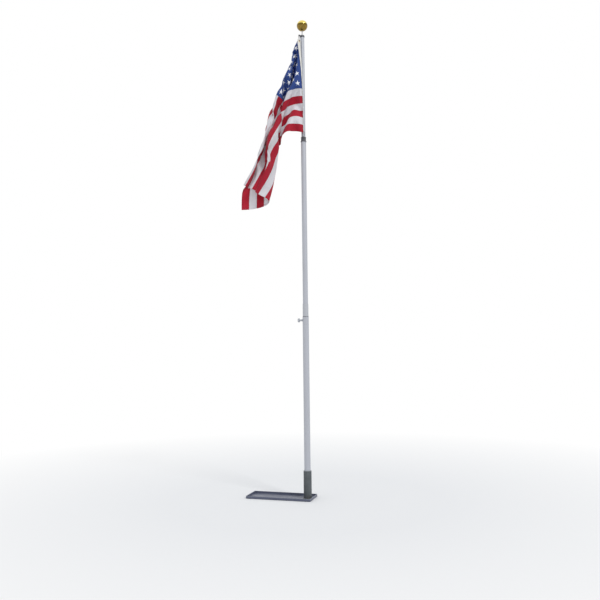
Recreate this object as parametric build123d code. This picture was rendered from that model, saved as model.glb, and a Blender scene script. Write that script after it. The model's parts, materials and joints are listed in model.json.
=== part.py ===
from build123d import *
import math
import os

# Telescoping flagpole on a drive-on wheel stand, in millimetres, +Z up.
# The origin is on the underside of the tray, on the axis of the pole.
# +X points along the tray to its open end, and -X to the stretch that a wheel stands on.

# Tray, folded up from steel sheet
tray_length = 610.0
tray_width = 240.0
tray_gauge = 4.0
tray_lip_height = 24.0
tray_bend_radius = 7.0
tray_end_to_axis = 57.0

# Upright sleeve of heavy pipe, welded to the tray
sleeve_outer_d = 73.0
sleeve_wall = 7.0
sleeve_height = 250.0
sleeve_chamfer = 1.5
weld_leg = 6.0

# Round tubes of the pole, from the widest to the slimmest
bottom_tube_d = 57.15
bottom_tube_wall = 2.0
middle_tube_d = 47.6
middle_tube_wall = 1.8
top_tube_d = 38.1
top_tube_wall = 1.6

# Heights above the ground of the three tube tops, and how deep the upper two reach inside
bottom_tube_top = 1647.0
middle_tube_top = 3287.0
top_tube_top = 4293.0
tube_overlap = 200.0

# Collars: a liner in a tube's mouth that guides the next tube and stands out above it
collar_depth = 80.0
lower_collar_stand = 120.0
upper_collar_stand = 47.0
seam_ring_height = 5.0
seam_ring_proud = 1.3
collar_chamfer = 0.8

# Guides at the feet of the sliding tubes, and the plug under the lowest tube
guide_flange = 12.0
guide_stem = 40.0
guide_bore = 24.0
plug_flange = 5.0
plug_stem = 35.0
plug_wall = 4.0

# Lock screw with its knob, near the mouth of the bottom tube
lock_below_seam = 30.0
lock_screw_d = 8.0
lock_boss_d = 20.0
lock_boss_reach = 9.0
lock_boss_chamfer = 1.0
lock_knob_d = 36.0
lock_knob_thickness = 16.0
lock_knob_reach = 73.0
lock_knob_lobes = 6
lock_lobe_d = 13.0
lock_hub_d = 16.0
lock_hub_gap = 2.0
lock_knob_rounding = 1.2

# Revolving head of the pole
cap_flange = 3.0
cap_hub_d = 28.0
cap_wall = 3.0
head_ring_height = 16.0
head_ring_d = 42.0
head_ring_chamfer = 0.8
washer_d = 38.0
washer_thickness = 2.5
spindle_d = 12.0
spindle_visible = 45.0
spindle_grip = 22.0
nut_across_flats = 22.0
nut_height = 8.0
nut_chamfer = 1.0
ball_d = 101.6
ball_wall = 1.5
ball_boss_d = 20.0

# Lower ring, a bell that turns about the neck of the upper collar
neck_ring_height = 44.0
neck_ring_top_d = 48.0
neck_ring_base_d = 55.0
neck_ring_rim = 5.0
neck_ring_ledge = 1.0

# Eyes on the rings, snap hooks and grommets
eye_reach = 42.0
eye_hole_d = 7.0
eye_rim = 4.0
eye_thickness = 5.0
snap_wire_d = 4.0
snap_width = 16.0
snap_gate_d = 3.6
snap_gate_length = 22.0
eye_to_grommet = 56.0
grommet_bore_d = 9.0
grommet_barrel_d = 12.0
grommet_flange_d = 20.0
grommet_flange = 0.8

# Flag of 914 by 1524 mm, hanging in folds from its two hoist corners
flag_length = 1524.0
flag_thickness = 5.0
flag_turn = 16.0
heading_width = 38.0
heading_thickness = 2.0
heading_margin = 16.0
hoist_lead = 45.0
hoist_wrap = 45.0
points_per_fold = 6

# Clearances
press_gap = 0.02
slide_gap = 0.3
hook_gap = 0.3

# Level sections through the hanging flag, for a cloth 1524 long; they grow with its length.
# Each is the drop below the hoist's top, then the crests of the folds as reach to the left and
# reach to the back. A section that starts with None is sewn to the heading.
flag_sections = [
    (8, [None, (52, -45), (57, -42), (62, -39), (67, -36)]),
    (104, [None, (52, -54), (64, -22), (77, -8), (88, 32)]),
    (184, [None, (60, -64), (76, 6), (98, -14), (114, 44)]),
    (264, [None, (60, -66), (90, 30), (122, -28), (138, 56)]),
    (424, [None, (80, -80), (118, 80), (165, -64), (198, 52)]),
    (584, [None, (88, -64), (142, 96), (215, -72), (256, 50)]),
    (744, [None, (95, -70), (168, 124), (262, -68), (314, 46)]),
    (864, [None, (105, -66), (188, 150), (288, -70), (352, 46)]),
    (919, [(150, -66), (168, -40), (204, 160), (292, -78), (360, 44)]),
    (1064, [(180, -20), (184, 40), (220, 150), (305, -88), (384, 44)]),
    (1224, [(254, -36), (260, 20), (298, 130), (352, -66), (446, 60)]),
    (1324, [(266, -50), (272, 0), (304, 70), (356, -60), (486, 60)]),
    (1464, [(288, -60), (294, -20), (328, 34), (376, -74), (556, 52)]),
    (1584, [(336, -24), (342, 4), (362, 32), (402, -14), (570, 38)]),
]

# Values that follow
bottom_bore_d = bottom_tube_d - 2 * bottom_tube_wall
middle_bore_d = middle_tube_d - 2 * middle_tube_wall
top_bore_d = top_tube_d - 2 * top_tube_wall
lower_collar_d = bottom_bore_d - 2 * press_gap
upper_collar_d = middle_bore_d - 2 * press_gap
middle_tube_foot = bottom_tube_top - tube_overlap
top_tube_foot = middle_tube_top - tube_overlap
lock_z = bottom_tube_top - lock_below_seam
hub_bottom = top_tube_top + cap_flange
hub_top = hub_bottom + head_ring_height + 2 * slide_gap
washer_top = hub_top + washer_thickness
ball_bottom = washer_top + spindle_visible
ball_z = ball_bottom + ball_d / 2
eye_radius = eye_hole_d / 2 + eye_rim
head_ring_bottom = hub_bottom + slide_gap
neck_ring_bottom = middle_tube_top + slide_gap
upper_eye_z = head_ring_bottom + head_ring_height / 2
lower_eye_z = neck_ring_bottom + neck_ring_height - eye_radius
upper_grommet_z = upper_eye_z - eye_to_grommet
lower_grommet_z = lower_eye_z + eye_to_grommet
hoist_top = upper_grommet_z + heading_margin
hoist_bottom = lower_grommet_z - heading_margin
heading_inner = eye_reach - heading_margin
heading_outer = heading_inner + heading_width
fold_scale = flag_length / 1524


def rod(diameter, z_low, z_high):
    """A round bar on the pole's axis between two heights."""
    return Pos(0, 0, z_low) * Cylinder(
        diameter / 2, z_high - z_low, align=(Align.CENTER, Align.CENTER, Align.MIN))


def tube(outer_d, inner_d, z_low, z_high):
    """A round tube on the pole's axis between two heights."""
    return rod(outer_d, z_low, z_high) - rod(inner_d, z_low - 1, z_high + 1)


def bar_along_x(diameter, x_low, x_high, z):
    """A round bar parallel to X at a height."""
    bar = Cylinder(diameter / 2, x_high - x_low, align=(Align.CENTER, Align.CENTER, Align.MIN))
    return Pos(x_low, 0, z) * Rot(0, 90, 0) * bar


def end_circles(shape, z):
    """The round edges of a shape that lie at a height."""
    return [edge for edge in shape.edges().filter_by(GeomType.CIRCLE)
            if abs(edge.center().Z - z) < 0.01]


def base_tray():
    """A shallow tray with a lip on all four sides and rounded bends."""
    middle_x = tray_end_to_axis - tray_length / 2
    lift = (Align.CENTER, Align.CENTER, Align.MIN)
    outside = Box(tray_length, tray_width, tray_lip_height, align=lift)
    outside = fillet(outside.edges().filter_by(Axis.Z), tray_bend_radius)
    outside = fillet(outside.faces().sort_by(Axis.Z)[0].edges(), tray_bend_radius - 1)
    inner_length = tray_length - 2 * tray_gauge
    inner_width = tray_width - 2 * tray_gauge
    inside = Pos(0, 0, tray_gauge) * Box(inner_length, inner_width, tray_lip_height, align=lift)
    inner_radius = tray_bend_radius - tray_gauge
    inside = fillet(inside.edges().filter_by(Axis.Z), inner_radius)
    inside = fillet(inside.faces().sort_by(Axis.Z)[0].edges(), inner_radius - 1)
    return Pos(middle_x, 0, 0) * (outside - inside)


def sleeve():
    """The pipe that the pole stands in, with its mouth eased inside and out."""
    top = tray_gauge + sleeve_height
    pipe = tube(sleeve_outer_d, sleeve_outer_d - 2 * sleeve_wall, tray_gauge, top)
    return chamfer(end_circles(pipe, top), sleeve_chamfer)


def weld_bead():
    """The fillet weld round the sleeve's foot."""
    inner = sleeve_outer_d / 2 + press_gap
    profile = Polyline((inner, 0, tray_gauge), (inner + weld_leg, 0, tray_gauge),
                       (inner, 0, tray_gauge + weld_leg), close=True)
    return revolve(make_face(profile), Axis.Z)


def bottom_section():
    """The widest tube, drilled for the lock screw."""
    drill = bar_along_x(lock_screw_d + 2 * slide_gap, -bottom_tube_d, 0, lock_z)
    foot = tray_gauge + plug_flange
    return tube(bottom_tube_d, bottom_bore_d, foot, bottom_tube_top) - drill


def foot_plug():
    """The plug that closes the bottom tube and stands on the tray."""
    flange_top = tray_gauge + plug_flange
    stem_d = bottom_bore_d - 2 * press_gap
    flange = rod(bottom_tube_d, tray_gauge, flange_top)
    return flange + tube(stem_d, stem_d - 2 * plug_wall, flange_top, flange_top + plug_stem)


def guide_collar(outer_d, inner_tube_d, seat_z, stand):
    """A liner that sits in a tube's mouth, guides the next tube and stands out above."""
    bore_d = inner_tube_d + 2 * slide_gap
    top = seat_z + stand
    collar = tube(outer_d, bore_d, seat_z - collar_depth, top)
    return chamfer(end_circles(collar, top), collar_chamfer)


def lower_collar():
    """The long collar above the bottom tube, drilled for the lock screw."""
    drill = bar_along_x(lock_screw_d + 2 * slide_gap, -bottom_tube_d, 0, lock_z)
    return guide_collar(lower_collar_d, middle_tube_d, bottom_tube_top, lower_collar_stand) - drill


def seam_ring():
    """The dark ring between the bottom tube's end and the collar."""
    outer_d = lower_collar_d + 2 * seam_ring_proud
    bore_d = lower_collar_d + 2 * press_gap
    return tube(outer_d, bore_d, bottom_tube_top, bottom_tube_top + seam_ring_height)


def foot_guide(tube_bore_d, flange_d, foot_z):
    """The guide under a sliding tube: a flange that runs in the wider tube, and a stem."""
    flange = tube(flange_d, guide_bore, foot_z - guide_flange, foot_z)
    stem = tube(tube_bore_d - 2 * press_gap, guide_bore, foot_z, foot_z + guide_stem)
    return flange + stem


def lock_boss():
    """The threaded boss on the side of the bottom tube."""
    outer = bottom_tube_d / 2 + lock_boss_reach
    boss = bar_along_x(lock_boss_d, -outer, 0, lock_z)
    boss = chamfer([edge for edge in boss.edges() if edge.center().X < 1 - outer],
                   lock_boss_chamfer)
    bore = bar_along_x(lock_screw_d + 2 * press_gap, -outer - 1, 0, lock_z)
    wall = rod(bottom_tube_d + 2 * press_gap, lock_z - lock_boss_d, lock_z + lock_boss_d)
    return boss - bore - wall


def lock_screw():
    """The screw, whose nose stops just short of the middle tube."""
    nose = -(middle_tube_d / 2 + slide_gap)
    tail = -(lock_knob_reach - lock_knob_thickness / 2)
    screw = bar_along_x(lock_screw_d, tail, nose, lock_z)
    return screw - rod(middle_tube_d + 2 * slide_gap, lock_z - lock_screw_d, lock_z + lock_screw_d)


def lock_knob():
    """The lobed knob with a hub towards the pole."""
    body = Cylinder(lock_knob_d / 2, lock_knob_thickness,
                    align=(Align.CENTER, Align.CENTER, Align.MIN))
    for index in range(lock_knob_lobes):
        angle = 360.0 * (index + 0.5) / lock_knob_lobes
        notch = Cylinder(lock_lobe_d / 2, 4 * lock_knob_thickness)
        body -= Rot(0, 0, angle) * Pos(lock_knob_d / 2 + lock_lobe_d / 4, 0, 0) * notch
    faces = body.faces().filter_by(GeomType.PLANE)
    body = fillet([edge for face in faces for edge in face.edges()], lock_knob_rounding)
    boss_face = bottom_tube_d / 2 + lock_boss_reach
    hub_length = lock_knob_reach - lock_knob_thickness - boss_face - lock_hub_gap
    hub = Cylinder(lock_hub_d / 2, hub_length + 1,
                   align=(Align.CENTER, Align.CENTER, Align.MIN))
    knob = body + Pos(0, 0, lock_knob_thickness - 1) * hub
    bore_depth = lock_knob_thickness / 2
    bore = Cylinder(lock_screw_d / 2 + press_gap, 4 * lock_knob_thickness,
                    align=(Align.CENTER, Align.CENTER, Align.MIN))
    knob -= Pos(0, 0, bore_depth) * bore
    return Pos(-lock_knob_reach, 0, lock_z) * Rot(0, 90, 0) * knob


def top_cap():
    """The plug in the top tube, with the hub that the head ring turns on."""
    stem_d = top_bore_d - 2 * press_gap
    stem = rod(stem_d, top_tube_top - guide_stem, top_tube_top)
    cap = stem + rod(top_tube_d, top_tube_top, hub_bottom) + rod(cap_hub_d, hub_bottom, hub_top)
    hollow = rod(stem_d - 2 * cap_wall, top_tube_top - guide_stem - 1, top_tube_top - cap_wall)
    return cap - hollow - rod(spindle_d + 2 * press_gap, top_tube_top - guide_stem, hub_top + 1)


def spindle():
    """The threaded rod between the cap and the ball."""
    return rod(spindle_d, top_tube_top - cap_wall, ball_bottom + spindle_grip)


def retaining_washer():
    """The disc that keeps the head ring on its hub."""
    return tube(washer_d, spindle_d + 2 * press_gap, hub_top, washer_top)


def spindle_nut():
    """The hexagon nut that clamps the disc."""
    blank = RegularPolygon(nut_across_flats / 2, 6, major_radius=False)
    nut = Pos(0, 0, washer_top) * extrude(blank, nut_height)
    crown_r = nut_across_flats / 2 * 1.06
    crown = Pos(0, 0, washer_top) * Cylinder(crown_r, nut_height,
                                             align=(Align.CENTER, Align.CENTER, Align.MIN))
    crown = chamfer(end_circles(crown, washer_top + nut_height), nut_chamfer)
    return (nut & crown) - rod(spindle_d + 2 * press_gap, washer_top - 1, ball_bottom)


def finial_ball():
    """The hollow ball, with a boss inside that takes the spindle."""
    centre = Pos(0, 0, ball_z)
    shell = centre * Sphere(ball_d / 2) - centre * Sphere(ball_d / 2 - ball_wall)
    boss = rod(ball_boss_d, ball_bottom + 0.5, ball_bottom + spindle_grip)
    boss &= centre * Sphere(ball_d / 2 - ball_wall / 2)
    bore = rod(spindle_d + 2 * press_gap, ball_bottom - 1, ball_bottom + spindle_grip)
    return shell + boss - bore


def eyed(ring, bore_d, wall_d, eye_z):
    """A turning ring with a drilled eye added that points along -X."""
    plate = Pos(-eye_reach, 0, eye_z) * Rot(90, 0, 0) * Cylinder(eye_radius, eye_thickness)
    web_start = -(bore_d + wall_d) / 4
    web_length = eye_reach + web_start
    web = Pos(web_start - web_length / 2, 0, eye_z) * Box(web_length, eye_thickness, 2 * eye_radius)
    hole = Pos(-eye_reach, 0, eye_z) * Rot(90, 0, 0) * Cylinder(eye_hole_d / 2, 2 * eye_thickness)
    bore = rod(bore_d, eye_z - 2 * neck_ring_height, eye_z + 2 * neck_ring_height)
    return ring + plate + web - hole - bore


def head_ring():
    """The upper ring, which turns on the cap's hub."""
    top = head_ring_bottom + head_ring_height
    ring = chamfer(end_circles(rod(head_ring_d, head_ring_bottom, top), top),
                   head_ring_chamfer)
    return eyed(ring, cap_hub_d + 2 * slide_gap, head_ring_d, upper_eye_z)


def neck_ring():
    """The lower ring, a bell with a rim at its foot, which turns on the upper collar."""
    top = neck_ring_bottom + neck_ring_height
    shoulder = neck_ring_bottom + neck_ring_rim
    base_r = neck_ring_base_d / 2
    top_r = neck_ring_top_d / 2
    flank = Spline((base_r - neck_ring_ledge, 0, shoulder), (top_r, 0, top),
                   tangents=[(-1, 0, 1.5), (0, 0, 1)])
    profile = flank + Polyline((top_r, 0, top), (0, 0, top), (0, 0, neck_ring_bottom),
                               (base_r, 0, neck_ring_bottom),
                               (base_r, 0, shoulder - neck_ring_ledge),
                               (base_r - neck_ring_ledge, 0, shoulder))
    bell = revolve(make_face(profile), Axis.Z)
    return eyed(bell, upper_collar_d + 2 * slide_gap, neck_ring_top_d, lower_eye_z)


def snap_hook(z_low, z_high):
    """A long link of round wire with a gap on one side, and the gate that closes it."""
    half = snap_width / 2
    low = z_low + half
    high = z_high - half
    middle = (low + high) / 2
    gap_low = middle - snap_gate_length / 2
    gap_high = middle + snap_gate_length / 2
    path = Polyline((-eye_reach, half, gap_low), (-eye_reach, half, low))
    path += ThreePointArc((-eye_reach, half, low), (-eye_reach, 0, z_low), (-eye_reach, -half, low))
    path += Polyline((-eye_reach, -half, low), (-eye_reach, -half, high))
    path += ThreePointArc((-eye_reach, -half, high), (-eye_reach, 0, z_high),
                          (-eye_reach, half, high))
    path += Polyline((-eye_reach, half, high), (-eye_reach, half, gap_high))
    start = Plane(origin=(-eye_reach, half, gap_low), z_dir=(0, 0, -1))
    hook = sweep(start * Circle(snap_wire_d / 2), path=path)
    gate = Pos(-eye_reach, half, middle) * Cylinder(snap_gate_d / 2, snap_gate_length)
    return hook, gate


def grommet(z):
    """A flanged ring clenched through the heading, on an axis parallel to Y."""
    bore = grommet_bore_d / 2
    barrel = grommet_barrel_d / 2 - press_gap
    rim = grommet_flange_d / 2
    face = heading_thickness / 2 + press_gap
    outer = face + grommet_flange
    profile = Polyline((bore, 0, -outer), (rim, 0, -outer), (rim, 0, -face), (barrel, 0, -face),
                       (barrel, 0, face), (rim, 0, face), (rim, 0, outer), (bore, 0, outer),
                       close=True)
    return Pos(-eye_reach, 0, z) * Rot(90, 0, 0) * revolve(make_face(profile), Axis.Z)


def hoist_angle(z):
    """How far the hoist has wound round the pole at a height, in degrees from -X."""
    flat = 2 * heading_margin
    span = hoist_top - hoist_bottom - 2 * flat
    share = min(max((hoist_top - flat - z) / span, 0.0), 1.0)
    return hoist_lead + hoist_wrap * (1 - (1 - share) ** 3)


def hoist_band(grow):
    """The band along the hoist, winding round the pole, larger all round by grow."""
    flat = 2 * heading_margin
    steps = 12
    span = hoist_top - hoist_bottom - 2 * flat
    heights = [hoist_bottom]
    heights += [hoist_bottom + flat + span * (1 - (1 - index / steps) ** 1.5)
                for index in range(steps + 1)]
    heights += [hoist_top]
    centre = heading_inner + heading_width / 2
    sections = []
    for z in heights:
        turn = Rot(0, 0, hoist_angle(z))
        sections.append(Pos(0, 0, z) * turn * Pos(-centre, 0, 0)
                        * Rectangle(heading_width + 2 * grow, heading_thickness + 2 * grow))
    return loft(sections, ruled=True)


def flag_heading():
    """The doubled band with the two holes that the grommets are clenched in."""
    hole = Cylinder(grommet_barrel_d / 2, 3 * heading_thickness)
    band = hoist_band(0)
    for z in (upper_grommet_z, lower_grommet_z):
        band -= Rot(0, 0, hoist_angle(z)) * Pos(-eye_reach, 0, z) * Rot(90, 0, 0) * hole
    return band


def flag_section(drop, crests):
    """Points along a level section of the cloth, waving from each crest to the next."""
    z = hoist_top - drop * fold_scale
    corners = [(-crest[0] * fold_scale, crest[1] * fold_scale) for crest in crests if crest]
    if crests[0] is None:
        angle = math.radians(180 + hoist_angle(z))
        reach = heading_outer + flag_thickness / 2
        corners.insert(0, (reach * math.cos(angle), reach * math.sin(angle)))
    points = [Vector(*corners[0], z)]
    for (x, y), (next_x, next_y) in zip(corners, corners[1:]):
        for step in range(1, points_per_fold + 1):
            share = step / points_per_fold
            swing = (1 - math.cos(math.pi * share)) / 2
            points.append(Vector(x + (next_x - x) * share, y + (next_y - y) * swing, z))
    return points


def both_sides(rows):
    """The front and back of the cloth, each half its thickness from the sections' points."""
    front = []
    back = []
    for row in rows:
        ahead = row[1:] + [2 * row[-1] - row[-2]]
        behind = [2 * row[0] - row[1]] + row[:-1]
        offsets = [(after - before).cross(Vector(0, 0, 1)).normalized() * (flag_thickness / 2)
                   for before, after in zip(behind, ahead)]
        front.append([point + offset for point, offset in zip(row, offsets)])
        back.append([point - offset for point, offset in zip(row, offsets)])
    return front, back


def flag():
    """The cloth, hanging in folds to the left of the pole: flat facets between its sections."""
    front, back = both_sides([flag_section(drop, crests) for drop, crests in flag_sections])
    last_row = len(front) - 1
    last_point = len(front[0]) - 1
    rim = [(0, point) for point in range(last_point)]
    rim += [(row, last_point) for row in range(last_row)]
    rim += [(last_row, point) for point in range(last_point, 0, -1)]
    rim += [(row, 0) for row in range(last_row, 0, -1)]
    quads = []
    for row in range(last_row):
        for point in range(last_point):
            for side in (front, back):
                quads.append((side[row][point], side[row][point + 1],
                              side[row + 1][point + 1], side[row + 1][point]))
    for (row, point), (next_row, next_point) in zip(rim, rim[1:] + rim[:1]):
        quads.append((front[row][point], front[next_row][next_point],
                      back[next_row][next_point], back[row][point]))
    faces = []
    for a, b, c, d in quads:
        faces.append(Face(Wire.make_polygon([a, b, c])))
        faces.append(Face(Wire.make_polygon([a, c, d])))
    return Solid(Shell(faces)) - hoist_band(slide_gap)


turn_flag = Rot(0, 0, flag_turn)
turn_upper = Rot(0, 0, flag_turn + hoist_lead)
turn_lower = Rot(0, 0, flag_turn + hoist_lead + hoist_wrap)
bow_radius = snap_width / 2
eye_bow = bow_radius - math.sqrt(bow_radius**2 - (eye_thickness / 2) ** 2)
grommet_half = heading_thickness / 2 + grommet_flange
grommet_bow = bow_radius - math.sqrt(bow_radius**2 - grommet_half**2)
wire_drop = eye_hole_d / 2 - snap_wire_d / 2 - hook_gap - eye_bow
wire_rise = grommet_bore_d / 2 - snap_wire_d / 2 - hook_gap - grommet_bow
upper_hook, upper_gate = snap_hook(upper_grommet_z + wire_rise, upper_eye_z - wire_drop)
lower_hook, lower_gate = snap_hook(lower_eye_z + wire_drop, lower_grommet_z - wire_rise)

parts = {
    "base_tray": base_tray(),
    "sleeve": sleeve(),
    "weld_bead": weld_bead(),
    "foot_plug": foot_plug(),
    "bottom_section": bottom_section(),
    "seam_ring": seam_ring(),
    "lower_collar": lower_collar(),
    "lock_boss": lock_boss(),
    "lock_screw": lock_screw(),
    "lock_knob": lock_knob(),
    "middle_section": tube(middle_tube_d, middle_bore_d, middle_tube_foot, middle_tube_top),
    "middle_foot_guide": foot_guide(middle_bore_d, bottom_bore_d - 2 * slide_gap, middle_tube_foot),
    "upper_collar": guide_collar(upper_collar_d, top_tube_d, middle_tube_top, upper_collar_stand),
    "top_section": tube(top_tube_d, top_bore_d, top_tube_foot, top_tube_top),
    "top_foot_guide": foot_guide(top_bore_d, middle_bore_d - 2 * slide_gap, top_tube_foot),
    "top_cap": top_cap(),
    "spindle": spindle(),
    "retaining_washer": retaining_washer(),
    "spindle_nut": spindle_nut(),
    "finial_ball": finial_ball(),
    "head_ring": turn_upper * head_ring(),
    "upper_snap": turn_upper * upper_hook,
    "upper_snap_gate": turn_upper * upper_gate,
    "upper_grommet": turn_upper * grommet(upper_grommet_z),
    "flag_heading": turn_flag * flag_heading(),
    "flag": turn_flag * flag(),
    "neck_ring": turn_lower * neck_ring(),
    "lower_snap": turn_lower * lower_hook,
    "lower_snap_gate": turn_lower * lower_gate,
    "lower_grommet": turn_lower * grommet(lower_grommet_z),
}

os.makedirs("parts", exist_ok=True)
for name, shape in parts.items():
    export_step(shape, f"parts/{name}.step")
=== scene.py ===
import json
import math

import bpy
import numpy as np
from mathutils import Matrix, Vector


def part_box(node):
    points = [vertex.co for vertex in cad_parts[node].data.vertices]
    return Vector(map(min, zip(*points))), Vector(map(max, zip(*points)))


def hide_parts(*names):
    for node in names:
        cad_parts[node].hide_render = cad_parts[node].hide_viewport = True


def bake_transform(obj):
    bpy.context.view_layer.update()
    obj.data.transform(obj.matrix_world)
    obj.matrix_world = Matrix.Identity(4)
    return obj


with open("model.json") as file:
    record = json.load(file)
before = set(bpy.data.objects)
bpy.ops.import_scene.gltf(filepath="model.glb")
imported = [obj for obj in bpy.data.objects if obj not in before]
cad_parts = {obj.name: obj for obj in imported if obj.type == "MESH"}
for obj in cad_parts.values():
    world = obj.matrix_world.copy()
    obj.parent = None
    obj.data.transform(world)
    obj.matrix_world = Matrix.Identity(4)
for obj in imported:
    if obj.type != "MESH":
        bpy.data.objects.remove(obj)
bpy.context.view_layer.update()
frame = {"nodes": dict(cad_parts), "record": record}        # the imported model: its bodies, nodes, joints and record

# The flag, in metres. s runs from the hoist to the fly, t from the top edge down.
flag_width = 0.914
flag_length = 1.524
stripes = 13
stripe = flag_width / stripes
heading_width = 0.038
heading_thickness = 0.002
heading_radius = 0.026
heading_flat = 0.032
heading_ease = 3
heading_net = 181, 9
hoist_lead = 45
hoist_wrap = 45
flag_turn = 16
canton_length = 0.610
canton_stripes = 7
star_columns = 11
star_rows = 9
star_diameter = 0.056
star_inset = 0.03
star_rings = 4
star_points = 5
star_top = 0.0011
star_fall = 0.0009
cloth_half = 0.0004
cloth_under_heading = 0.6
seam_width = 0.007
seam_height = 0.0005
hem_width = 0.012
hem_height = 0.0006
fly_hem_width = 0.022
fly_hem_height = 0.0008
seam_step = 0.0065
seam_from_heading = 0.002
seam_from_fly = 0.004
stitch_pitch = 0.0042
stitch_length = 0.8 * stitch_pitch
stitch_radius = 0.00035
stitch_sunk = 0.0001
pucker_height = 0.0007
pucker_short = 0.011
pucker_long = 0.037

# The cloth as it hangs: grids of points along and down, and the gaps kept between layers
coarse_net = 31, 19
fine_net = 61, 37
coarse_gap = 0.03
fine_gap = 0.015
pole_clearance = 0.027
step_time = 1 / 120
speed_kept = 0.985
top_speed = 3.0
steps_between_searches = 15
search_block = 1500
search_reach = 1.8
layers_apart = 1.6
shear_grip = 0.25

# The camera
view_turn = 16
camera_distance = 6.35
camera_height = 1.36
camera_tilt = 4.0
camera_yaw = 0.453
camera_roll = -0.665
lens_mm = 41.4
sensor_mm = 36.0

# The studio
floor_half = 60
floor_fade = 1.2, 5.0
soft_light = 0.94, 0.965, 1.0, 1
soft_level = 0.82
lamp_energy = 1.1
lamp_spread = 14
lamp_tilt = 48
lamp_turn = 38

heading_low, heading_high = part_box("flag_heading")
hoist_top = heading_high.z
hoist_bottom = heading_low.z


class Finish:
    """A procedural material: one Principled shader and the textures that feed it."""

    def __init__(self, name, color, roughness, metallic=0.0, **sockets):
        self.material = bpy.data.materials.new(name)
        self.material.use_nodes = True
        self.nodes = self.material.node_tree.nodes
        self.links = self.material.node_tree.links
        self.shader = self.nodes["Principled BSDF"]
        self.shader.inputs["Base Color"].default_value = (*color, 1)
        self.shader.inputs["Roughness"].default_value = roughness
        self.shader.inputs["Metallic"].default_value = metallic
        for key, value in sockets.items():
            self.shader.inputs[key.replace("_", " ")].default_value = value
        self.place = self.add("TexCoord").outputs["Object"]
        self.normal = None

    def feed(self, socket, value):
        if isinstance(value, bpy.types.NodeSocket):
            self.links.new(value, socket)
        else:
            socket.default_value = value

    def add(self, kind, inputs=None, **settings):
        node = self.nodes.new("ShaderNode" + kind)
        for key, value in settings.items():
            setattr(node, key, value)
        for key, value in (inputs or {}).items():
            self.feed(node.inputs[key], value)
        return node

    def sum(self, operation, first, second=0.0, clamp=False):
        node = self.add("Math", {0: first, 1: second}, operation=operation, use_clamp=clamp)
        return node.outputs[0]

    def noise(self, scale, detail=3.0, stretch=(1, 1, 1), roughness=0.5):
        mapping = self.add("Mapping", {"Vector": self.place, "Scale": stretch})
        sockets = {"Vector": mapping.outputs[0], "Scale": scale, "Detail": detail,
                   "Roughness": roughness}
        return self.add("TexNoise", sockets).outputs["Fac"]

    def band(self, value, low, high, to_low=0.0, to_high=1.0):
        """Maps low..high to to_low..to_high, clamped."""
        sockets = {"Value": value, "From Min": low, "From Max": high,
                   "To Min": to_low, "To Max": to_high}
        return self.add("MapRange", sockets).outputs["Result"]

    def axis(self, index, vector=None):
        return self.add("SeparateXYZ", {0: vector or self.place}).outputs[index]

    def mix(self, factor, first, second):
        node = self.add("Mix", data_type="RGBA")
        self.feed(node.inputs[0], factor)
        for socket, value in ((node.inputs[6], first), (node.inputs[7], second)):
            is_plain = not isinstance(value, bpy.types.NodeSocket)
            self.feed(socket, (*value, 1) if is_plain else value)
        return node.outputs[2]

    def color(self, value):
        self.feed(self.shader.inputs["Base Color"], value)

    def roughness(self, value):
        self.feed(self.shader.inputs["Roughness"], value)

    def bump(self, height, distance):
        sockets = {"Height": height, "Distance": distance, "Strength": 1.0}
        if self.normal:
            sockets["Normal"] = self.normal
        self.normal = self.add("Bump", sockets).outputs[0]
        self.feed(self.shader.inputs["Normal"], self.normal)


def painted_tray():
    """Blue-grey paint, with dust and painted sky light on the upward faces, rubbed bare along the lips, where a
    painted highlight lightens them too.
    """
    paint, dust_and_skylight, bare_and_highlight = (0.070, 0.080, 0.130), (0.165, 0.17, 0.20), (0.31, 0.33, 0.38)
    look = Finish("tray_paint", paint, 0.45, Coat_Weight=0.25, Coat_Roughness=0.3)
    cloud = look.noise(9, 6, roughness=0.6)
    shade = look.mix(look.band(cloud, 0.35, 0.65), paint, (0.088, 0.10, 0.15))
    # Upward faces turn a lighter blue-grey in streaks: dust, and painted sky light from above.
    up = look.axis(2, look.add("NewGeometry").outputs["Normal"])
    floor = look.band(up, 0.6, 0.95)
    streaks = look.noise(14, 5, stretch=(0.35, 1, 1), roughness=0.65)
    dust_and_skylight_mask = look.sum("MULTIPLY", floor, look.band(streaks, 0.42, 0.7, 0.05, 0.75))
    shade = look.mix(dust_and_skylight_mask, shade, dust_and_skylight)
    # The top edges of the lips turn lighter: rubbed bare, and a painted highlight.
    rim = look.band(look.axis(2), 0.0215, 0.0235)
    chips = look.band(look.noise(160, 4, roughness=0.7), 0.52, 0.58)
    wear_and_highlight_mask = look.sum("MULTIPLY", rim, look.band(chips, 0, 1, 0.35, 1))
    scuffs = look.noise(40, 2, stretch=(0.12, 1.4, 1))
    scratch = look.sum("MULTIPLY", look.band(scuffs, 0.66, 0.70), floor)
    look.color(look.mix(look.sum("MAXIMUM", wear_and_highlight_mask, scratch), shade, bare_and_highlight))
    look.roughness(look.band(cloud, 0.3, 0.7, 0.35, 0.62))
    look.bump(look.noise(900, 2), 0.00008)
    look.bump(chips, 0.0001)
    return look.material


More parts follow.
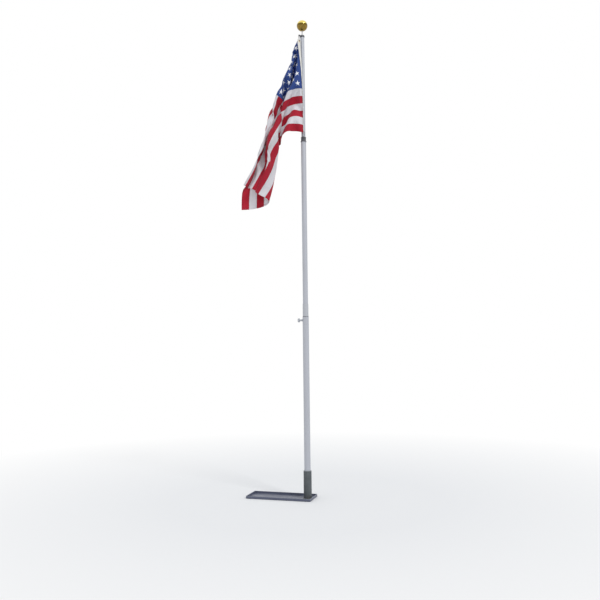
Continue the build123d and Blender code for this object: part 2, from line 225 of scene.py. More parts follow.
def painted_pipe():
    """Grey paint on rough pipe, with a painted highlight on the top face of the rim, in the colour of bare metal, and
    a little rust by the weld.
    """
    paint, rust, bare_and_highlight = (0.064, 0.074, 0.080), (0.085, 0.062, 0.045), (0.36, 0.37, 0.39)
    look = Finish("sleeve_paint", paint, 0.5, metallic=0.1)
    cloud = look.noise(22, 6, roughness=0.62)
    shade = look.mix(look.band(cloud, 0.35, 0.7), paint, (0.10, 0.112, 0.12))
    low = look.band(look.axis(2), 0.05, 0.006)
    stain = look.band(look.noise(70, 5, roughness=0.7), 0.5, 0.62)
    shade = look.mix(look.sum("MULTIPLY", low, stain), shade, rust)
    # The top of the rim is painted lighter: a painted highlight where the light falls on it.
    rim = look.band(look.axis(2), 0.2515, 0.2535)
    look.color(look.mix(rim, shade, bare_and_highlight))
    look.roughness(look.band(cloud, 0.3, 0.7, 0.38, 0.6))
    look.bump(look.noise(260, 5, roughness=0.6), 0.00025)
    return look.material


def drawn_tube():
    """Satin aluminium tube with the fine lines of drawing, handled and lightly weathered."""
    metal = (0.43, 0.445, 0.485)
    look = Finish("satin_aluminium", metal, 0.34, metallic=0.45)
    lines = look.noise(900, 3, stretch=(1, 1, 0.004))
    cloud = look.noise(7, 5, roughness=0.6)
    smear = look.noise(30, 4, stretch=(1, 1, 0.25))
    shade = look.mix(look.band(lines, 0.3, 0.7), (0.425, 0.44, 0.485), (0.47, 0.485, 0.53))
    dull = look.band(smear, 0.5, 0.72, 0, 0.35)
    look.color(look.mix(dull, shade, (0.40, 0.405, 0.42)))
    handled, drawn = look.band(cloud, 0.3, 0.7, 0, 0.14), look.band(lines, 0.3, 0.7, 0.29, 0.34)
    look.roughness(look.sum("ADD", handled, drawn))
    look.bump(lines, 0.00002)
    return look.material


def turned_metal(name, color, roughness, deep=0.00003, metallic=1.0, tarnish=0.8):
    """Metal turned on a lathe: rings round the pole's axis, and some tarnish."""
    look = Finish(name, color, roughness, metallic)
    rings = look.noise(700, 2, stretch=(0.03, 0.03, 1))
    cloud = look.noise(45, 5, roughness=0.6)
    dark = tuple(0.62 * part for part in color)
    look.color(look.mix(look.band(cloud, 0.42, 0.75, 0, tarnish), color, dark))
    look.roughness(look.band(cloud, 0.3, 0.7, roughness - 0.06, roughness + 0.14))
    look.bump(rings, deep)
    return look.material


def gilded():
    """Gold anodised ball: bright above, with a painted reflection of the ground, brown and mottled, on the lower half
    and a dark painted reflection of the horizon round the middle, and fine polishing marks.
    """
    middle = sum(corner.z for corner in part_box("finial_ball")) / 2
    look = Finish("gold_finish", (0.93, 0.62, 0.10), 0.16, metallic=1.0)
    cloud = look.noise(38, 4)
    height = look.sum("ADD", look.axis(2), look.band(cloud, 0.3, 0.7, -0.006, 0.006))
    # The lower half turns brown: a painted reflection of the ground.
    low = look.band(height, middle + 0.013, middle + 0.004)
    bright = look.mix(look.band(cloud, 0.4, 0.7), (0.93, 0.76, 0.23), (0.82, 0.65, 0.17))
    spots = look.band(look.noise(55, 3), 0.4, 0.6)
    painted_ground_reflection = look.mix(spots, (0.30, 0.20, 0.045), (0.21, 0.14, 0.035))
    shade = look.mix(low, bright, painted_ground_reflection)
    # A dark belt just above the middle: a painted reflection of the horizon.
    off_reflected_horizon = look.sum("ABSOLUTE", look.sum("SUBTRACT", height, middle + 0.003))
    look.color(look.mix(look.band(off_reflected_horizon, 0.013, 0.004, 0, 0.75), shade, (0.10, 0.07, 0.012)))
    look.roughness(look.band(cloud, 0.3, 0.7, 0.10, 0.24))
    look.bump(look.noise(500, 2, stretch=(0.1, 0.1, 1)), 0.000012)
    return look.material


def moulded(name, color, grain=0.00006):
    """Moulded plastic with a fine grain and slight fading."""
    look = Finish(name, color, 0.48, Specular_IOR_Level=0.45)
    cloud = look.noise(35, 4)
    faded = tuple(1.6 * part + 0.01 for part in color)
    look.color(look.mix(look.band(cloud, 0.4, 0.75, 0, 0.8), color, faded))
    look.roughness(look.band(cloud, 0.3, 0.7, 0.42, 0.6))
    look.bump(look.noise(1400, 2), grain)
    return look.material


def woven(name, color, pitch, deep, sheen=0.3):
    """A plain weave that follows the cloth's own flat map."""
    look = Finish(name, color, 0.75, Sheen_Weight=sheen, Sheen_Roughness=0.4)
    look.place = look.add("UVMap", uv_map="flat").outputs[0]
    threads = [look.sum("SINE", look.sum("MULTIPLY", look.axis(index), 2 * math.pi / pitch))
               for index in (0, 1)]
    look.weave = look.sum("MULTIPLY", *threads)
    look.bump(look.weave, deep)
    return look


def canvas():
    look = woven("heading_canvas", (0.80, 0.78, 0.72), 0.0016, 0.0002)
    cloud = look.noise(12, 5)
    soft = look.mix(look.band(cloud, 0.35, 0.7), (0.82, 0.80, 0.75), (0.68, 0.66, 0.60))
    look.color(look.mix(look.band(look.weave, -1, 1, 0, 0.25), soft, (0.5, 0.48, 0.43)))
    return look.material


def bunting():
    """Woven nylon in thirteen stripes, with the blue canton in the upper hoist corner."""
    look = woven("flag_nylon", (0.6, 0.02, 0.05), 0.0012, 0.00006, sheen=0.25)
    s, t = look.axis(0), look.axis(1)
    is_white = look.sum("FLOORED_MODULO", look.sum("FLOOR", look.sum("DIVIDE", t, stripe)), 2.0)
    in_length = look.sum("LESS_THAN", s, canton_length)
    in_width = look.sum("LESS_THAN", t, canton_stripes * stripe)
    cloud = look.band(look.noise(5, 5, roughness=0.6), 0.35, 0.7)
    red = look.mix(cloud, (0.62, 0.013, 0.045), (0.54, 0.011, 0.038))
    white = look.mix(cloud, (0.92, 0.91, 0.93), (0.85, 0.84, 0.87))
    blue = look.mix(cloud, (0.040, 0.095, 0.36), (0.050, 0.115, 0.42))
    striped = look.mix(is_white, red, white)
    shade = look.mix(look.sum("MULTIPLY", in_length, in_width), striped, blue)
    thread = look.band(look.weave, -1, 1, 0.0, 0.12)
    look.color(look.mix(thread, shade, (0.0, 0.0, 0.0)))
    glow = look.add("BsdfTranslucent", {"Color": shade})
    share = look.add("MixShader", {0: 0.42, 1: look.shader.outputs[0], 2: glow.outputs[0]})
    look.links.new(share.outputs[0], look.nodes["Material Output"].inputs["Surface"])
    return look.material


def thread_white():
    look = Finish("star_thread", (0.86, 0.86, 0.86), 0.6, Sheen_Weight=0.3)
    rows = look.noise(1500, 2, stretch=(1, 1, 0.1))
    look.color(look.mix(look.band(rows, 0.3, 0.7), (0.90, 0.90, 0.90), (0.74, 0.74, 0.76)))
    look.bump(rows, 0.0001)
    return look.material


# The folds of the hanging flag, in centimetres. Each row follows one line across the stripes,
# counted in stripes from the top edge. Its points are the length along the cloth from the hoist,
# the place to the right of the pole and away from the camera, the drop below the hoist's top,
# and how firmly the cloth is held there: 1 where the photograph shows it, less where it is hidden.
drape_rows = {
    0: [(8, -5.5, -3.5, 5.5, 1), (25, -11.5, 2, 19, 1), (61, -24, 5, 52, 1), (74, -29, 4, 62, 1),
        (84, -32, 0, 70.5, 1), (89, -34.5, -1, 76.5, 1), (116, -37.5, 3, 102.5, 1),
        (129, -41.5, 5, 114.5, 1), (139, -45, 5, 124, 1), (152, -52, 4, 134.5, 1)],
    1: [(12, -6, -3, 14, 0.5), (25, -10.5, 0, 22.5, 0.7), (63, -25.5, 1.5, 53.5, 1),
        (73, -29, 1.5, 63, 1), (80, -31.5, -1, 71, 1), (92, -33, -2, 83.5, 1),
        (116, -39.5, 0, 105, 1), (124, -43, 0, 113, 1), (134, -47.5, 0, 122, 1),
        (143, -52, 0, 129.5, 1), (152, -58, 0, 136.5, 1)],
    2: [(25, -9, -1.5, 21.5, 0.5), (62, -24.5, -3, 55.5, 1), (84, -28.5, -3, 77, 1),
        (115, -39.5, -2, 105.5, 1), (126, -44.5, -2, 115.5, 1), (133, -45, -2, 122, 1),
        (140, -48.5, -2, 128.5, 1), (152, -54.5, -2, 138.5, 1)],
    3: [(25, -8, -1, 23, 0.3), (45, -14, -3, 41, 0.7), (72, -22.5, 2, 65, 1),
        (90, -29.5, 1, 81.5, 0.7), (108, -37, 0, 98, 0.5), (126, -42.5, 0, 115.5, 1),
        (133, -43, 0, 122, 1), (140, -46.5, 0, 128.5, 1), (152, -52, 0, 139, 1)],
    4: [(25, -6.5, 0, 26.5, 0.3), (45, -13.5, -2, 44.5, 0.5), (61, -20.5, 2, 58.5, 1),
        (68, -21.5, 3.5, 63.5, 1), (73, -22.5, 3, 68.5, 1), (79, -25.5, 1, 75, 1),
        (87, -29, -4, 84, 1), (92, -31.5, -5, 86, 1), (113, -37.5, -3.5, 107, 1),
        (120, -37.5, -3, 114, 1), (126, -37, -3, 119.5, 1), (134, -41.5, -3, 126, 1),
        (142, -44.5, -3, 133.5, 1), (152, -50, -3, 142, 1)],
    5: [(25, -6.5, 1, 29.5, 0.2), (61, -19.5, -1, 65.5, 1), (82, -20.5, -2, 79.5, 1),
        (88, -25, -4.5, 85.5, 1), (105, -32, -5, 100.5, 1), (110, -33, -5, 105.5, 1),
        (119, -31.5, -1.5, 113, 1), (128, -31.5, 0, 122.5, 0.7), (142, -37, 0, 135.5, 0.7),
        (152, -43, 0, 145, 1)],
    6: [(25, -6, 2, 35, 0), (45, -15, 5, 54.5, 0), (61, -18.5, 6, 67.5, 0),
        (82, -20.5, 3, 79.5, 0.5), (96, -25, -2, 95.5, 1), (108, -29.5, -3, 106, 1),
        (126, -33, -3, 122, 0.7), (141, -39.5, -3, 134.5, 0.7), (152, -46, -3, 145, 1)],
    7: [(10, -7, -5, 44.5, 1), (19, -15, -3, 50, 1), (31, -20.5, 0, 60, 1), (45, -22, 6, 71, 0.2),
        (70, -26, 12, 82, 0.2), (101, -23.5, 1, 99, 1), (125, -29.5, -2.5, 123, 1),
        (152, -43, -4, 147.5, 1)],
    8: [(10, -7, -5, 51, 1), (20, -15, -3, 56.5, 1), (32, -20.5, 2, 66.5, 1), (45, -24, 9, 74, 0.2),
        (70, -28.5, 17, 83, 0.2), (95, -29, 10, 98, 0.3), (112, -26, 3, 110.5, 0.6),
        (121, -25.5, 0, 119, 1), (138, -27.5, -1.5, 137, 1), (152, -36.5, -2.5, 151, 1)],
    9: [(10, -7, -5, 57, 1), (20, -15, -3, 62, 1), (32, -21, 2.5, 71.5, 1),
        (42, -24.5, 10, 77, 0.2), (70, -30.5, 19, 89.5, 0.2), (100, -31, 11, 106.5, 0.3),
        (120, -28.5, 4, 121, 0.6), (138, -27.5, 0, 137, 1), (145, -29.5, -0.5, 145, 1),
        (152, -34, -1, 157.5, 1)],
    10: [(10, -7, -5, 64, 1), (20, -15, -3, 68.5, 1), (32, -21.5, 3, 78, 1),
         (42, -25, 10.5, 84, 0.2), (70, -32.5, 20, 95, 0.2), (100, -36, 11, 110, 0.3),
         (120, -34, 5, 129, 0.3), (138, -38, 3, 147, 0.7), (152, -39.5, 3, 161, 1)],
    11: [(9, -6.5, -5, 70, 1), (20, -15, -3, 75, 1), (32, -22, 3.5, 84.5, 1),
         (42, -25.5, 11, 89, 0.2), (70, -34.5, 20, 99, 0.2), (100, -39.5, 11, 111, 0.3),
         (120, -40, 5, 129.5, 0.3), (138, -45, 3.5, 146.5, 1), (152, -46, 3.5, 160.5, 1)],
    12: [(9, -6.5, -5, 77, 1), (20, -15, -3, 82, 1), (31, -22.5, 4, 89.5, 1),
         (42, -25, 11, 95, 0.3), (70, -32.5, 20, 104, 0.2),
         (95, -40.5, 11, 109.5, 0.3), (110, -42.5, 4, 121.5, 0.6), (122, -47, 3.5, 133, 1),
         (134, -52.5, 3, 143, 1), (152, -53, 3, 160.5, 1)],
    12.5: [(9, -6, -5.5, 82.5, 1), (19, -14.5, -3.5, 85, 1), (31, -23, 4, 92, 1),
           (42, -25, 11, 97, 0.5), (70, -32.5, 20, 105, 0.2), (100, -42, 9, 112, 0.3),
           (115, -46, 5.5, 127.5, 1), (122, -50, 4, 133.5, 1), (128, -54, 3.5, 138.5, 1),
           (134, -56.5, 3, 143, 1), (152, -57, 2.5, 160.5, 1)],
    13: [(7, -4, -6, 88.5, 1), (10, -6.5, -5.5, 86.5, 1), (19, -14.5, -3.5, 87.5, 1),
         (31, -23, 4, 94, 1), (55, -26.5, 12, 109, 0.6),
         (80, -33.5, 20, 110, 0.2), (100, -42, 11.5, 113, 0.3), (115, -48, 8, 127, 1),
         (122, -52.5, 6, 133, 1), (130, -58, 4, 139, 1), (134, -60, 3, 142.5, 1),
         (140, -61, 2, 148.5, 1), (152, -61, 2, 160.5, 1)],
}


def heading_point(s, t):
    """A point of the heading, which winds round the pole on its way down, ever more slowly."""
    span = 1 - 2 * heading_flat / (hoist_top - hoist_bottom)
    share = min(max((t / flag_width - (1 - span) / 2) / span, 0.0), 1.0)
    angle = math.radians(180 + hoist_lead + hoist_wrap * (1 - (1 - share) ** heading_ease))
    radius = heading_radius + s
    height = hoist_top - (hoist_top - hoist_bottom) * t / flag_width
    return np.array([radius * math.cos(angle), radius * math.sin(angle), height])


def start_shape(across, down):
    """The cloth between the rows, and how firmly each point is drawn to its place."""
    s = np.linspace(0, flag_length, across)
    rows, pulls = [], []
    for row, points in drape_rows.items():
        t = row * stripe
        line = [(place, *heading_point(place, t), 0) for place in (0.0, heading_width)]
        for along, right, away, drop, hold in points:
            line.append((along / 100, right / 100, away / 100, hoist_top - drop / 100, hold))
        line = np.array(line)
        rows.append([np.interp(s, line[:, 0], line[:, axis]) for axis in (1, 2, 3)])
        pulls.append(np.interp(s, line[:, 0], line[:, 4]))
    rows, pulls = np.array(rows), np.array(pulls)
    t = np.linspace(0, stripes, down)
    keys = list(drape_rows)
    shape = np.zeros((down, across, 3))
    firm = np.zeros((down, across))
    for column in range(across):
        firm[:, column] = np.interp(t, keys, pulls[:, column])
        for axis in range(3):
            shape[:, column, axis] = np.interp(t, keys, rows[:, axis, column])
    return shape, firm


def finer(grid):
    """Twice as many spans each way, through the same points, by cubic interpolation."""
    def along(rows):
        out = np.zeros((2 * len(rows) - 1,) + rows.shape[1:])
        before, after = 2 * rows[:1] - rows[1:2], 2 * rows[-1:] - rows[-2:-1]
        more = np.concatenate([before, rows, after])
        out[::2] = rows
        out[1::2] = (9 * (more[1:-2] + more[2:-1]) - more[:-3] - more[3:]) / 16
        return out
    return along(along(grid).swapaxes(0, 1)).swapaxes(0, 1)


class Cloth:
    """A grid of points that keep their distances while they hang and lie on each other."""

    def __init__(self, start, target, firm, gap):
        self.points = start.copy()
        self.target = target
        self.firm = firm
        self.gap = gap
        self.down, self.across = start.shape[:2]
        self.rest = flag_length / (self.across - 1), flag_width / (self.down - 1)
        self.speed = np.zeros_like(start)
        s = np.linspace(0, flag_length, self.across)
        t = np.linspace(0, flag_width, self.down)
        self.held = np.zeros(start.shape[:2], bool)
        self.held[:, s <= heading_width + 1e-6] = True
        for i, j in np.argwhere(self.held):
            self.points[i, j] = heading_point(s[j], t[i])
        self.fixed = self.points[self.held].copy()

    def link(self, first, second, rest, stiffness):
        """Moves two sets of points along the lines between them, to their rest distance."""
        start, end = self.points[first], self.points[second]
        gap = end - start
        length = np.sqrt((gap * gap).sum(-1, keepdims=True)) + 1e-9
        move = 0.5 * stiffness * (1 - rest / length) * gap
        start += move
        end -= move

    def keep_lengths(self, bend):
        along, down = self.rest
        diagonal = math.hypot(along, down)
        for first in (0, 1):
            self.link(np.s_[:, first:-1:2], np.s_[:, first + 1::2], along, 1.0)
            self.link(np.s_[first:-1:2], np.s_[first + 1::2], down, 1.0)
            self.link(np.s_[:-1, first:-1:2], np.s_[1:, first + 1::2], diagonal, shear_grip)
            self.link(np.s_[1:, first:-1:2], np.s_[:-1, first + 1::2], diagonal, shear_grip)
        for axis in (0, 1):
            rows = self.points.swapaxes(0, axis)
            lift = bend * ((rows[:-2] + rows[2:]) / 2 - rows[1:-1])
            rows[1:-1] += 0.5 * lift
            rows[:-2] -= 0.25 * lift
            rows[2:] -= 0.25 * lift

    def find_close(self):
        """Pairs of points that are near in space and far apart on the cloth."""
        flat = self.points.reshape(-1, 3).astype(np.float32)
        row, column = np.divmod(np.arange(len(flat)), self.across)
        reach, found = search_reach * self.gap, []
        for first in range(0, len(flat), search_block):
            block = flat[first:first + search_block]
            square = ((block[:, None] - flat[None]) ** 2).sum(-1)
            a, b = np.where(square < reach * reach)
            a += first
            apart_down = np.abs(row[a] - row[b]) * self.rest[1] > layers_apart * self.gap
            apart_along = np.abs(column[a] - column[b]) * self.rest[0] > layers_apart * self.gap
            keep = (a < b) & (apart_down | apart_along)
            found.append(np.stack([a[keep], b[keep]]))
        self.close = np.concatenate(found, 1)

    def part_layers(self):
        """Pushes layers of cloth apart where they come nearer than the gap."""
        flat = self.points.reshape(-1, 3)
        a, b = self.close
        line = flat[b] - flat[a]
        length = np.sqrt((line * line).sum(1)) + 1e-9
        near = length < self.gap
        a, b, line, length = a[near], b[near], line[near], length[near]
        push = 0.4 * (self.gap / length - 1)[:, None] * line
        total, count = np.zeros_like(flat), np.zeros(len(flat))
        np.add.at(total, a, -push)
        np.add.at(total, b, push)
        np.add.at(count, a, 1)
        np.add.at(count, b, 1)
        flat += total * (0.5 * np.minimum(count, 2) / np.maximum(count, 1))[:, None]

    def clear_pole(self):
        distance = np.hypot(self.points[..., 0], self.points[..., 1])
        inside = (distance < pole_clearance) & ~self.held
        self.points[inside, :2] *= (pole_clearance / distance[inside])[:, None]

    def hang(self, steps, pull, pull_away, bend=0.04, drag=4.8, passes=10):
        """Steps through time: gravity, the air's drag, the guides and the lengths."""
        gravity = np.array([0, 0, -9.81])
        for step in range(steps):
            before = self.points.copy()
            normal = np.cross(np.gradient(self.points, axis=1), np.gradient(self.points, axis=0))
            normal /= np.linalg.norm(normal, axis=-1, keepdims=True) + 1e-9
            air = -drag * (self.speed * normal).sum(-1, keepdims=True) * normal
            self.speed = speed_kept * (self.speed + (gravity + air) * step_time)
            self.points += self.speed * step_time
            firm = self.firm[..., None] * np.array([pull, pull * pull_away, pull])
            self.points += firm * (self.target - self.points)
            if step % steps_between_searches == 0:
                self.find_close()
            for _ in range(passes):
                self.keep_lengths(bend)
                self.part_layers()
                self.clear_pole()
                self.points[self.held] = self.fixed
            self.speed = (self.points - before) / step_time
            pace = np.linalg.norm(self.speed, axis=-1, keepdims=True)
            self.speed *= np.minimum(1, top_speed / np.maximum(pace, 1e-6))


def draped_flag():
    """The hanging cloth as a grid of points, turned from the rows' frame to the part's."""
    start, firm = start_shape(*coarse_net)
    coarse = Cloth(start, start, firm, gap=coarse_gap)
    coarse.hang(220, pull=0.4, pull_away=0.5, drag=2.4)
    coarse.hang(120, pull=0.3, pull_away=0.3)
    target, firm = start_shape(*fine_net)
    fine = Cloth(finer(coarse.points), target, firm, gap=fine_gap)
    fine.hang(160, pull=0.35, pull_away=0.2)
    fine.hang(40, pull=0.1, pull_away=0.1)
    turn = Matrix.Rotation(math.radians(flag_turn), 3, "Z")
    return finer(finer(fine.points)) @ np.array(turn).T


def normals(grid):
    found = np.cross(np.gradient(grid, axis=1), np.gradient(grid, axis=0))
    return found / (np.linalg.norm(found, axis=-1, keepdims=True) + 1e-12)


class Surface:
    """Gives the place of any flat point (s, t) on the hanging cloth, at a height above it."""

    def __init__(self, grid):
        self.grid = grid
        self.normals = normals(grid)

    def point(self, s, t, height=0.0):
        rows, columns = self.grid.shape[:2]
        x = min(max(s / flag_length, 0), 1) * (columns - 1)
        y = min(max(t / flag_width, 0), 1) * (rows - 1)
        i, j = min(int(y), rows - 2), min(int(x), columns - 2)
        u, v = x - j, y - i
        weights = ((1 - v) * (1 - u), (1 - v) * u, v * (1 - u), v * u)
        cells = ((i, j), (i, j + 1), (i + 1, j), (i + 1, j + 1))
        place = sum(w * self.grid[cell] for w, cell in zip(weights, cells))
        normal = sum(w * self.normals[cell] for w, cell in zip(weights, cells))
        return place + height * normal / (np.linalg.norm(normal) + 1e-12)


def mesh_object(name, vertices, faces, materials=(), flat_map=None, smooth=True):
    mesh = bpy.data.meshes.new(name)
    mesh.from_pydata([tuple(v) for v in vertices], [], faces)
    if flat_map is not None:
        layer = mesh.uv_layers.new(name="flat")
        corners = np.zeros(len(mesh.loops), int)
        mesh.loops.foreach_get("vertex_index", corners)
        layer.data.foreach_set("uv", np.asarray(flat_map, float)[corners].ravel())
    for material in materials:
        mesh.materials.append(material)
    mesh.polygons.foreach_set("use_smooth", [smooth] * len(mesh.polygons))
    mesh.update()
    piece = bpy.data.objects.new(name, mesh)
    bpy.context.scene.collection.objects.link(piece)
    return piece


def sheet_faces(rows, columns, first=0, flip=False):
    faces = []
    for i in range(rows - 1):
        for j in range(columns - 1):
            a = first + i * columns + j
            face = (a, a + 1, a + columns + 1, a + columns)
            faces.append(face[::-1] if flip else face)
    return faces


def thick_sheet(name, grid, half, material, flat):
    """A closed thin sheet: the grid set off to both sides, with its edges joined."""
    rows, columns = grid.shape[:2]
    offset = half * normals(grid)
    vertices = np.concatenate([(grid + offset).reshape(-1, 3), (grid - offset).reshape(-1, 3)])
    size = rows * columns
    faces = sheet_faces(rows, columns, flip=True) + sheet_faces(rows, columns, size)
    rim = list(range(columns))
    rim += [i * columns + columns - 1 for i in range(1, rows)]
    rim += [(rows - 1) * columns + j for j in range(columns - 2, -1, -1)]
    rim += [i * columns for i in range(rows - 2, 0, -1)]
    for a, b in zip(rim, rim[1:] + rim[:1]):
        faces.append((a, b, b + size, a + size))
    both = np.concatenate([flat.reshape(-1, 2)] * 2)
    return mesh_object(name, vertices, faces, [material], both)


def flat_points(rows, columns, s_range, t_range):
    s = np.linspace(*s_range, columns)
    t = np.linspace(*t_range, rows)
    return np.stack(np.meshgrid(s, t), -1)


def make_flag(grid, material):
    rows, columns = grid.shape[:2]
    first = int(round(cloth_under_heading * heading_width / flag_length * (columns - 1)))
    cloth = grid[:, first:]
    s_start = flag_length * first / (columns - 1)
    flat = flat_points(rows, columns - first, (s_start, flag_length), (0, flag_width))
    return thick_sheet("flag_cloth", cloth, cloth_half, material, flat)


def star_outline(radius):
    tip = 90 / star_points
    inner = radius * math.sin(math.radians(tip)) / math.sin(math.radians(3 * tip))
    corners = []
    for index in range(2 * star_points):
        angle = math.radians(-90 + 2 * tip * index)
        reach = radius if index % 2 == 0 else inner
        corners.append((reach * math.cos(angle), reach * math.sin(angle)))
    return corners


def star_centres():
    """Nine rows of stars, six and five in turn, each with a point up."""
    for row in range(star_rows):
        for column in range(row % 2, star_columns, 2):
            s = canton_length * (column + 1) / (star_columns + 1)
            t = canton_stripes * stripe * (row + 1) / (star_rows + 1)
            yield s + star_inset * (1 - s / canton_length), t


def make_stars(surface):
    """Embroidered stars on both faces, domed a little and bent with the cloth."""
    vertices, faces = [], []
    outline = star_outline(star_diameter / 2)
    count = len(outline)
    for s, t in star_centres():
        for side in (1, -1):
            start = len(vertices)
            vertices.append(surface.point(s, t, side * (cloth_half + star_top)))
            for ring in range(1, star_rings + 1):
                share = ring / star_rings
                height = cloth_half + star_top - star_fall * share ** 4
                for x, y in outline:
                    vertices.append(surface.point(s + share * x, t + share * y, side * height))
            for index in range(count):
                a, b = start + 1 + index, start + 1 + (index + 1) % count
                faces.append((start, b, a) if side > 0 else (start, a, b))
                for ring in range(star_rings - 1):
                    inner, outer = count * ring, count * ring + count
                    face = (a + inner, b + inner, b + outer, a + outer)
                    faces.append(face if side > 0 else face[::-1])
    return mesh_object("flag_stars", vertices, faces, [thread_white()])


def ribbon(surface, path, width, height, vertices, faces, flat):
    """A low doubled fold of cloth along a path of flat points, on both faces."""
    for side in (1, -1):
        start = len(vertices)
        for index, (s, t) in enumerate(path):
            ahead = np.array(path[min(index + 1, len(path) - 1)])
            behind = np.array(path[max(index - 1, 0)])
            along = (ahead - behind) / np.linalg.norm(ahead - behind)
            for share, lift in ((-0.5, 0.0), (-0.42, 1.0), (0.42, 1.0), (0.5, 0.0)):
                a = s - along[1] * share * width
                b = t + along[0] * share * width
                vertices.append(surface.point(a, b, side * (cloth_half + lift * height)))
                flat.append((a, b))
        for index in range(len(path) - 1):
            for step in range(3):
                a = start + 4 * index + step
                face = (a, a + 4, a + 5, a + 1)
                faces.append(face if side > 0 else face[::-1])


def straight(first, last):
    """Evenly spaced flat points from one end of a seam to the other."""
    length = math.dist(first, last)
    count = max(int(length / seam_step), 1)
    return [tuple(np.array(first) + (np.array(last) - np.array(first)) * k / count)
            for k in range(count + 1)]


def make_seams(surface, material):
    """The felled seams between the stripes and round the canton, and the hems."""
    vertices, faces, flat = [], [], []
    low = canton_stripes * stripe
    inner = heading_width + seam_from_heading
    for index in range(1, stripes):
        start = canton_length if index < canton_stripes else inner
        path = straight((start, index * stripe), (flag_length - seam_from_fly, index * stripe))
        ribbon(surface, path, seam_width, seam_height, vertices, faces, flat)
    path = straight((canton_length, hem_width / 2), (canton_length, low))
    ribbon(surface, path, seam_width, seam_height, vertices, faces, flat)
    for t in (hem_width / 2, flag_width - hem_width / 2):
        path = straight((inner, t), (flag_length, t))
        ribbon(surface, path, hem_width, hem_height, vertices, faces, flat)
    fly = flag_length - fly_hem_width / 2
    path = straight((fly, 0.0), (fly, flag_width))
    ribbon(surface, path, fly_hem_width, fly_hem_height, vertices, faces, flat)
    return mesh_object("flag_seams", vertices, faces, [material], flat)


def stitch(vertices, faces, middle, along, out, length, radius):
    """One stitch: a four sided thread that rises out of the cloth, with both ends sunk in it."""
    side = np.cross(out, along)
    start = len(vertices)
    for share, lift in ((-0.5, 0.0), (-0.25, 1.0), (0.25, 1.0), (0.5, 0.0)):
        centre = middle + share * length * along + lift * radius * out
        for corner in range(4):
            angle = math.radians(45 + 90 * corner)
            spoke = math.cos(angle) * side + math.sin(angle) * out
            vertices.append(centre + 0.8 * radius * spoke)
    for ring in range(3):
        for corner in range(4):
            a = start + 4 * ring + corner
            b = start + 4 * ring + (corner + 1) % 4
            faces.append((a, b, b + 4, a + 4))
    faces.append((start + 3, start + 2, start + 1, start))
    faces.append(tuple(start + 12 + corner for corner in range(4)))


def make_heading():
    """The canvas band: one thick sheet, puckered a little along its length."""
    down, across = heading_net
    s = np.linspace(0, heading_width, across)
    t = np.linspace(0, flag_width, down)
    grid = np.zeros((down, across, 3))
    for i in range(down):
        for j in range(across):
            grid[i, j] = heading_point(s[j], t[i])
    pucker = pucker_height * np.sin(t / pucker_short) * np.sin(t / pucker_long + 1)
    grid += pucker[:, None, None] * normals(grid)
    turn = Matrix.Rotation(math.radians(flag_turn), 3, "Z")
    grid = grid @ np.array(turn).T
    flat = flat_points(down, across, (0, heading_width), (0, flag_width))
    band = thick_sheet("heading_band", grid, heading_thickness / 2, canvas(), flat)
    return band, grid


def make_heading_stitches(grid):
    """Two rows of lock stitches down each face of the heading."""
    vertices, faces = [], []
    out = normals(grid)
    down = len(grid)
    columns = grid.shape[1]
    count = int(flag_width / stitch_pitch)
    for column in (1, columns - 2):
        line = grid[:, column]
        for index in range(1, count):
            place = (index * stitch_pitch) / flag_width * (down - 1)
            i = min(int(place), down - 2)
            middle = line[i] + (place - i) * (line[i + 1] - line[i])
            along = line[i + 1] - line[i]
            along = along / np.linalg.norm(along)
            for side in (1, -1):
                face_out = side * out[i, column]
                base = middle + (heading_thickness / 2 - stitch_sunk) * face_out
                stitch(vertices, faces, base, along, face_out, stitch_length, stitch_radius)
    return mesh_object("heading_stitches", vertices, faces, [thread_white()])


def follow_hoist(piece):
    """Sets the piece's placement into its mesh."""
    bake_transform(piece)


slot_materials = {
    "tray_paint": painted_tray(),
    "sleeve_paint": painted_pipe(),
    "satin_aluminium": drawn_tube(),
    "collar_aluminium": turned_metal("collar_aluminium", (0.455, 0.47, 0.505), 0.32, metallic=0.45,
                                     tarnish=0.1),
    "bright_steel": turned_metal("bright_steel", (0.56, 0.56, 0.57), 0.25),
    "snap_steel": turned_metal("snap_steel", (0.20, 0.20, 0.21), 0.42, 0.00006),
    "gold_finish": gilded(),
    "grommet_brass": turned_metal("grommet_brass", (0.62, 0.42, 0.16), 0.3),
    "black_plastic": moulded("black_plastic", (0.018, 0.018, 0.020)),
    "grey_plastic": moulded("grey_plastic", (0.068, 0.070, 0.080)),
    "dark_rubber": moulded("dark_rubber", (0.10, 0.105, 0.12), 0.0001),
}
for row in frame["record"]["subparts"]:
    material = slot_materials.get(row["material_slot"])
    if material:
        mesh = frame["nodes"][row["node"]].data
        mesh.materials.clear()
        mesh.materials.append(material)

flag_grid = draped_flag()
flag_surface = Surface(flag_grid)
flag_material = bunting()
flag = make_flag(flag_grid, flag_material)
stars = make_stars(flag_surface)
seams = make_seams(flag_surface, flag_material)
heading, heading_grid = make_heading()
stitches = make_heading_stitches(heading_grid)
for piece, slot in ((flag, "flag_nylon"), (stars, "flag_nylon"), (seams, "flag_nylon"),
                    (heading, "heading_canvas"), (stitches, "heading_canvas")):
    follow_hoist(piece)
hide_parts("flag")
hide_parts("flag_heading")


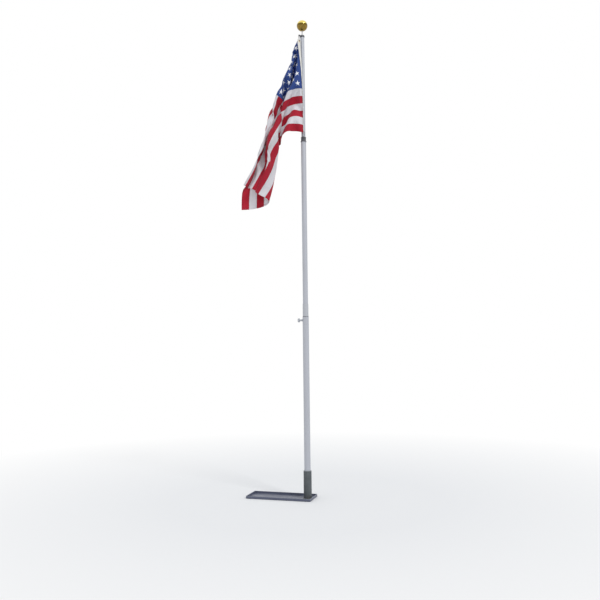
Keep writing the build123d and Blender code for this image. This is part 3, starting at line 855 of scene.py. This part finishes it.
def stage_material():
    """A pale floor that turns plain white, for the camera, away from the object."""
    look = Finish("floor_pale", (0.80, 0.80, 0.80), 0.9)
    away = look.add("VectorMath", {0: look.place}, operation="LENGTH").outputs["Value"]
    path = look.add("LightPath")
    seen = look.sum("MAXIMUM", path.outputs["Is Camera Ray"], path.outputs["Is Glossy Ray"])
    seen = look.sum("MAXIMUM", seen, path.outputs["Is Transmission Ray"])
    white = look.add("Emission", {"Color": (1, 1, 1, 1), "Strength": 1.0})
    fade = look.sum("MULTIPLY", seen, look.band(away, *floor_fade))
    share = look.add("MixShader", {0: fade, 1: look.shader.outputs[0], 2: white.outputs[0]})
    look.links.new(share.outputs[0], look.nodes["Material Output"].inputs["Surface"])
    return look.material


def make_floor():
    signs = ((-1, -1), (1, -1), (1, 1), (-1, 1))
    corners = [(x * floor_half, y * floor_half, 0) for x, y in signs]
    floor = mesh_object("floor", corners, [(0, 1, 2, 3)], [stage_material()])


def make_world():
    """White as the camera, gloss and glass see it, and soft grey light on everything else."""
    world = bpy.data.worlds.new("studio")
    bpy.context.scene.world = world
    world.use_nodes = True
    tree = world.node_tree
    tree.nodes.clear()
    path = tree.nodes.new("ShaderNodeLightPath")
    seen = None
    for name in ("Is Camera Ray", "Is Glossy Ray", "Is Transmission Ray"):
        if seen is None:
            seen = path.outputs[name]
            continue
        either = tree.nodes.new("ShaderNodeMath")
        either.operation = "MAXIMUM"
        tree.links.new(seen, either.inputs[0])
        tree.links.new(path.outputs[name], either.inputs[1])
        seen = either.outputs[0]
    shares = []
    for color, strength in ((soft_light, soft_level), ((1, 1, 1, 1), 1.0)):
        light = tree.nodes.new("ShaderNodeBackground")
        light.inputs["Color"].default_value = color
        light.inputs["Strength"].default_value = strength
        shares.append(light.outputs[0])
    mix = tree.nodes.new("ShaderNodeMixShader")
    tree.links.new(seen, mix.inputs[0])
    tree.links.new(shares[0], mix.inputs[1])
    tree.links.new(shares[1], mix.inputs[2])
    out = tree.nodes.new("ShaderNodeOutputWorld")
    tree.links.new(mix.outputs[0], out.inputs["Surface"])


def make_key_light():
    """A soft lamp from the upper right, behind the camera."""
    lamp = bpy.data.lights.new("key", "SUN")
    lamp.energy = lamp_energy
    lamp.angle = math.radians(lamp_spread)
    key = bpy.data.objects.new("key", lamp)
    key.rotation_euler = (math.radians(lamp_tilt), 0, math.radians(view_turn + lamp_turn))
    bpy.context.scene.collection.objects.link(key)


def make_camera():
    """The photograph's view: from low down, looking a little up the pole."""
    data = bpy.data.cameras.new("camera")
    data.lens = lens_mm
    data.sensor_width = sensor_mm
    data.clip_end = 200
    camera = bpy.data.objects.new("camera", data)
    turn = math.radians(view_turn)
    right, back = camera_distance * math.sin(turn), camera_distance * math.cos(turn)
    place = Vector((right, -back, camera_height))
    aim = Matrix.Rotation(math.radians(view_turn + camera_yaw), 4, "Z")
    aim @= Matrix.Rotation(math.radians(90 + camera_tilt), 4, "X")
    aim @= Matrix.Rotation(math.radians(camera_roll), 4, "Z")
    camera.matrix_world = Matrix.Translation(place) @ aim
    bpy.context.scene.collection.objects.link(camera)
    bpy.context.scene.camera = camera


make_floor()
make_world()
make_key_light()
make_camera()
bpy.context.scene.view_settings.view_transform = "Standard"
